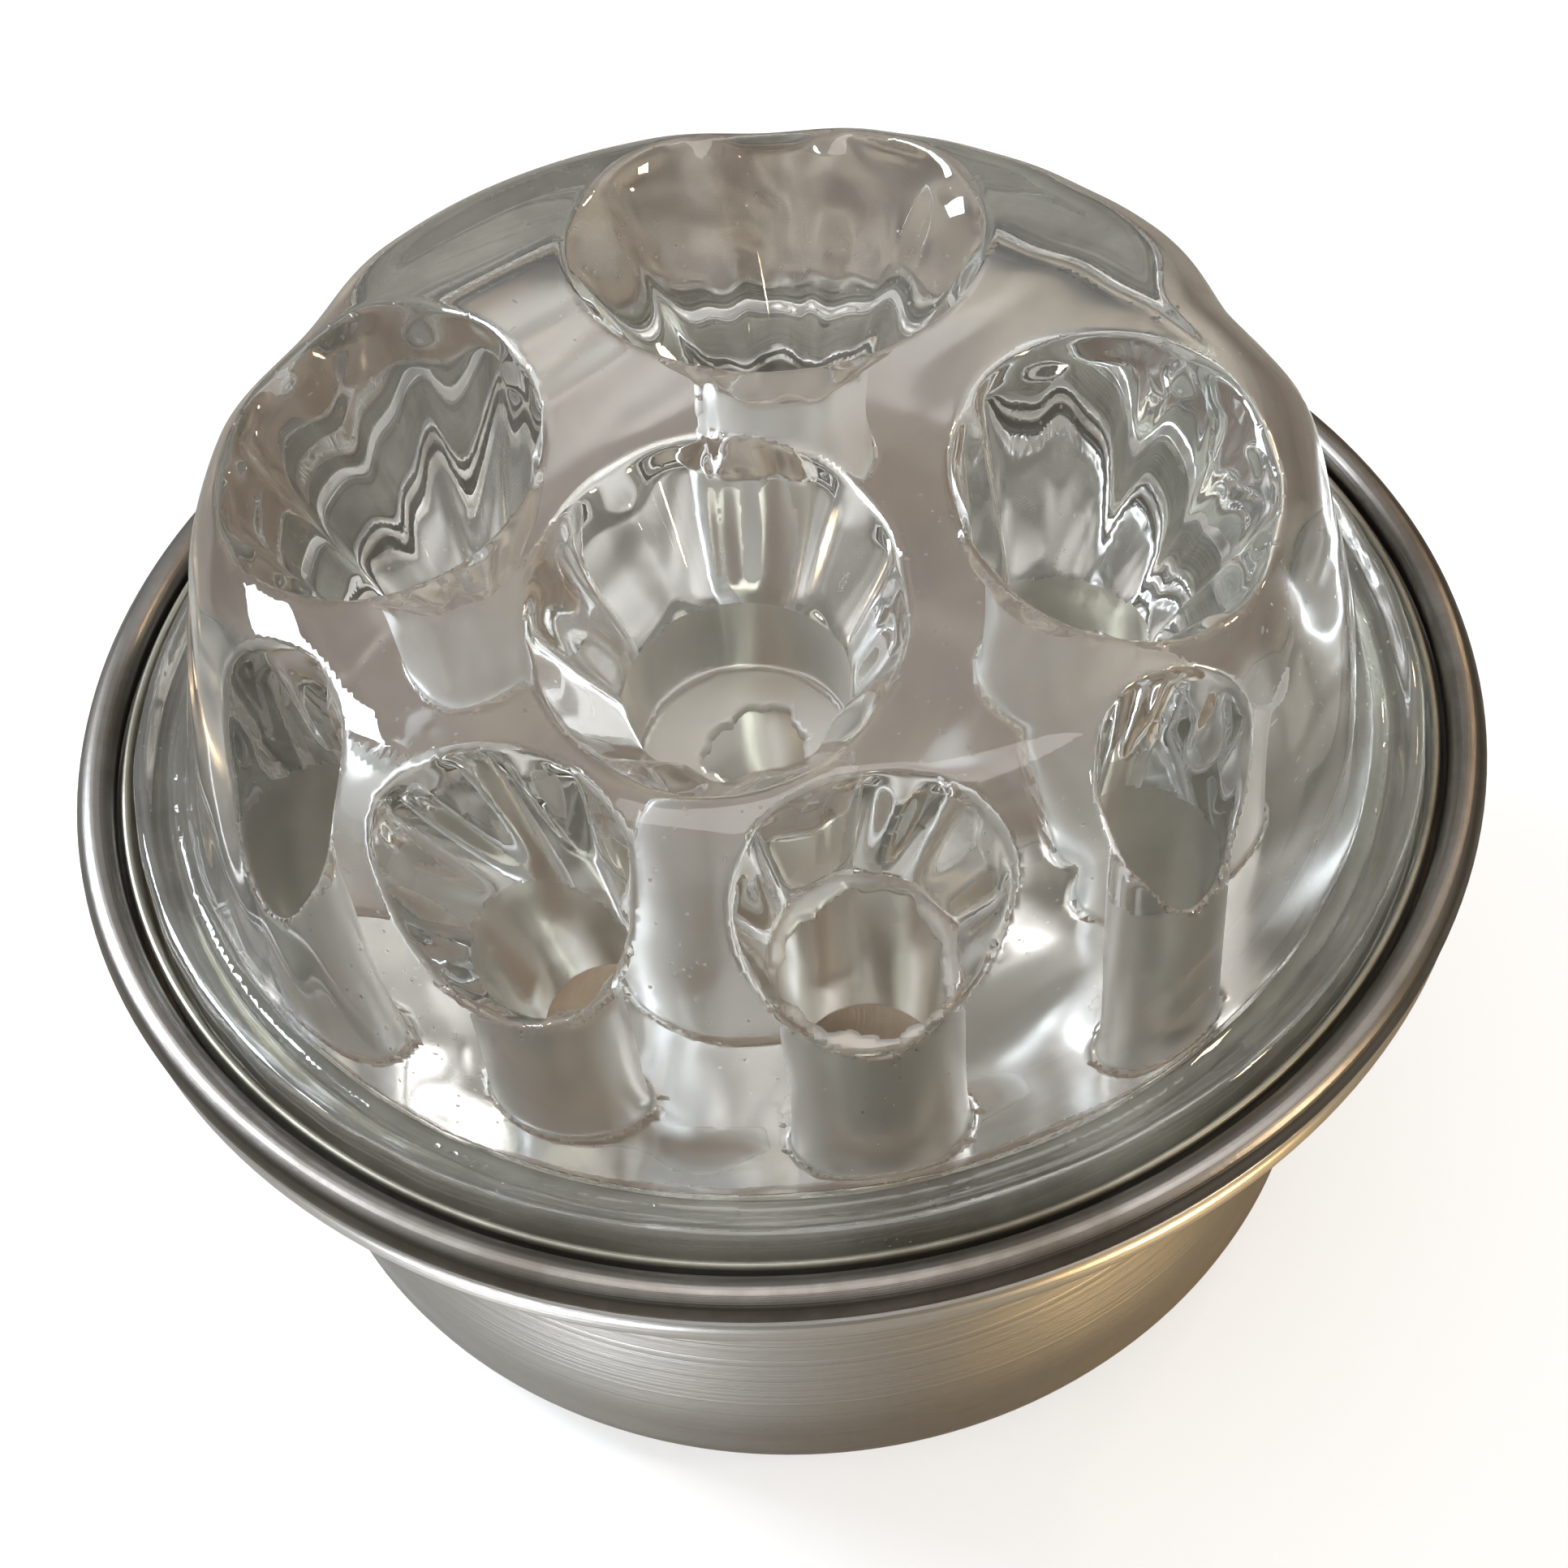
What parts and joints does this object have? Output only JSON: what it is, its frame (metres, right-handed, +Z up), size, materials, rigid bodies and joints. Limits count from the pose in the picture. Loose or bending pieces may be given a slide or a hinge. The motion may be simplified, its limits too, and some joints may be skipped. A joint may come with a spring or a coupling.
{
  "type": "flower frog",
  "caption": "Domed clear glass stem holder with splayed flared holes, resting by its flange in a footless metal bowl with a beaded rim.",
  "frame": {"origin": "centre of the bowl's underside, on the table", "axes": "+Z up along the bowl's axis, -Y towards the side with the smaller stem holes"},
  "size_m": [0.11, 0.11, 0.075],
  "materials": {
    "clear_glass": "clear pressed glass, polished, faint grey-green tone",
    "bead_metal": "satin silver-grey metal, darkened with age",
    "collar_metal": "dull silver-grey metal",
    "bowl_metal": "satin silver-grey metal, brown inside"
  },
  "bodies": {
    "stand": {"bowl": "bowl_metal", "rim_collar": "collar_metal", "edge_bead": "bead_metal"},
    "frog": {"glass_frog": "clear_glass"}
  },
  "joints": [
    {"name": "frog_lift", "type": "slide", "parent": "stand", "child": "frog", "axis": [0, 0, 1], "range_m": [0, 0.05]}
  ]
}
